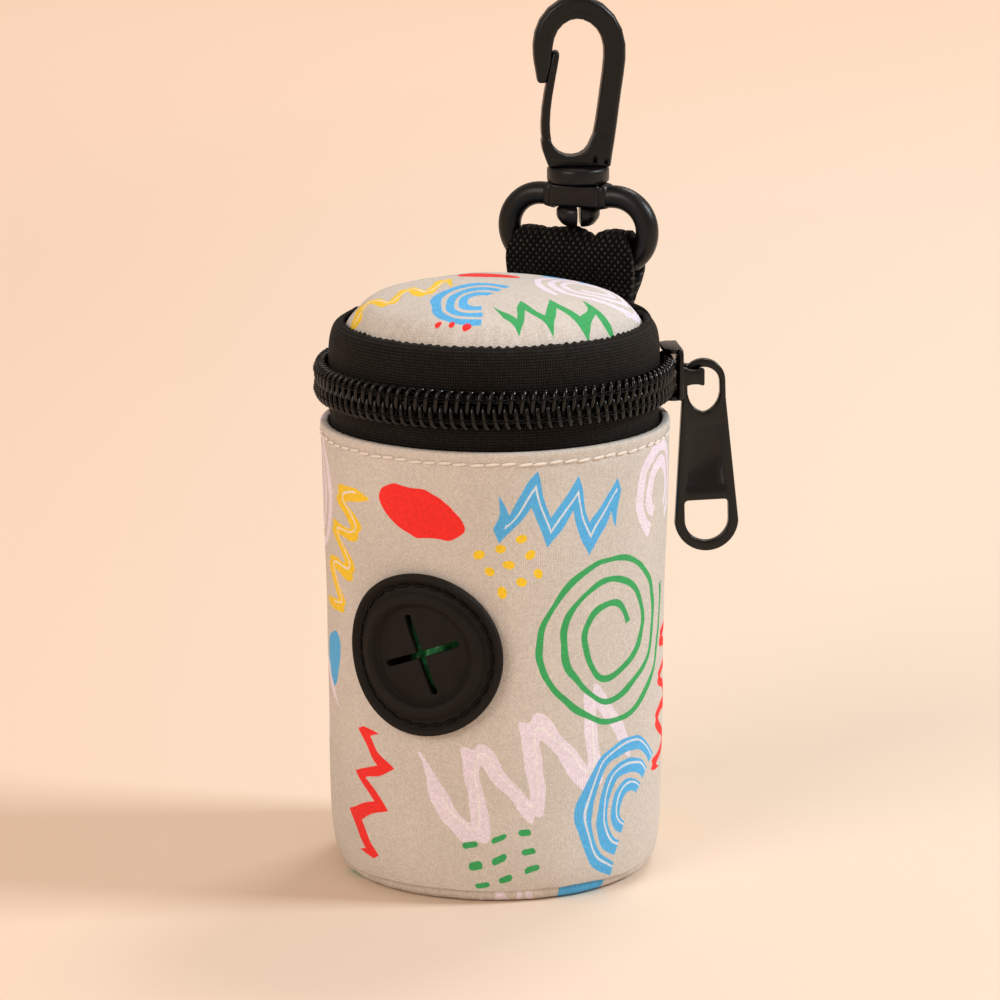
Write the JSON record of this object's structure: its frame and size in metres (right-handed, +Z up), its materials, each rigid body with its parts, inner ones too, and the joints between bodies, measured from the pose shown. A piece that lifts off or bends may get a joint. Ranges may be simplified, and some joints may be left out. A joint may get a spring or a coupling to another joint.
{
  "type": "dog waste bag dispenser",
  "caption": "Padded round cloth pouch with a zipped lid, a slit rubber outlet, a roll of bags inside and a swivel hook on a webbing loop.",
  "frame": {"origin": "centre of the base's underside", "axes": "+Z up along the pouch's axis, the front with the outlet faces -Y, the hinge and the hanger are at +Y"},
  "size_m": [0.0587, 0.0582, 0.1259],
  "materials": {
    "print_cloth": "printed plain weave",
    "foam": "polyester padding",
    "lining": "thin plain weave",
    "board": "stiff board",
    "tape": "woven tape",
    "coil": "wound nylon",
    "stops": "moulded",
    "rubber": "satin moulded rubber",
    "lacquer": "semi-gloss black lacquer",
    "webbing": "woven webbing",
    "moulding": "satin moulded plastic",
    "core": "plain",
    "film": "thin film"
  },
  "bodies": {
    "pouch": {"side_fabric": "print_cloth", "side_foam": "foam", "side_lining": "lining", "base_fabric": "print_cloth", "base_board": "board", "base_lining": "lining", "seam_binding": "tape", "lower_tape": "tape", "lower_coil": "coil", "zip_stops": "stops", "hinge_lower": "tape", "outlet": "rubber"},
    "lid": {"lid_fabric": "print_cloth", "lid_foam": "foam", "lid_lining": "lining", "upper_tape": "tape", "upper_coil": "coil", "hinge_upper": "tape", "strap_tail": "webbing"},
    "slider": {"slider_body": "lacquer", "slider_bail": "lacquer"},
    "pull": {"pull_tab": "lacquer"},
    "hanger": {"strap": "webbing"},
    "ring": {"swivel_ring": "moulding"},
    "hook": {"hook_body": "moulding"},
    "gate": {"hook_gate": "moulding"},
    "roll": {"roll_core": "core", "bag_roll": "film"}
  },
  "joints": [
    {"name": "lid_hinge", "type": "hinge", "parent": "pouch", "child": "lid", "pos_m": [0, 0.0252, 0.0733], "axis": [-1, 0, 0], "range_deg": [0, 100]},
    {"name": "slider_travel", "type": "hinge", "parent": "pouch", "child": "slider", "pos_m": [0, 0, 0.0733], "axis": [0, 0, -1], "range_deg": [0, 235], "deforming": ["lower_coil", "upper_coil"]},
    {"name": "pull_swing", "type": "hinge", "parent": "slider", "child": "pull", "pos_m": [0.02674, 0.01392, 0.07275], "axis": [0.4617, -0.887, 0], "range_deg": [0, 90]},
    {"name": "strap_fold", "type": "hinge", "parent": "lid", "child": "hanger", "pos_m": [0.0031, 0.0282, 0.0796], "axis": [1, 0, 0], "range_deg": [-75, 8]},
    {"name": "ring_swing", "type": "hinge", "parent": "hanger", "child": "ring", "pos_m": [0.0031, 0.027, 0.0857], "axis": [1, 0, 0], "range_deg": [-60, 40]},
    {"name": "hook_swivel", "type": "hinge", "parent": "ring", "child": "hook", "pos_m": [0.0031, 0.027, 0.096], "axis": [0, 0, 1], "continuous": true},
    {"name": "gate_flex", "type": "hinge", "parent": "hook", "child": "gate", "pos_m": [-0.00116, 0.02501, 0.1058], "axis": [-0.4226, 0.9063, 0], "range_deg": [0, 22], "stiffness_Nm_per_rad": 0.06},
    {"name": "roll_spin", "type": "hinge", "parent": "pouch", "child": "roll", "pos_m": [0, 0, 0.03], "axis": [0, 0, 1], "continuous": true}
  ]
}
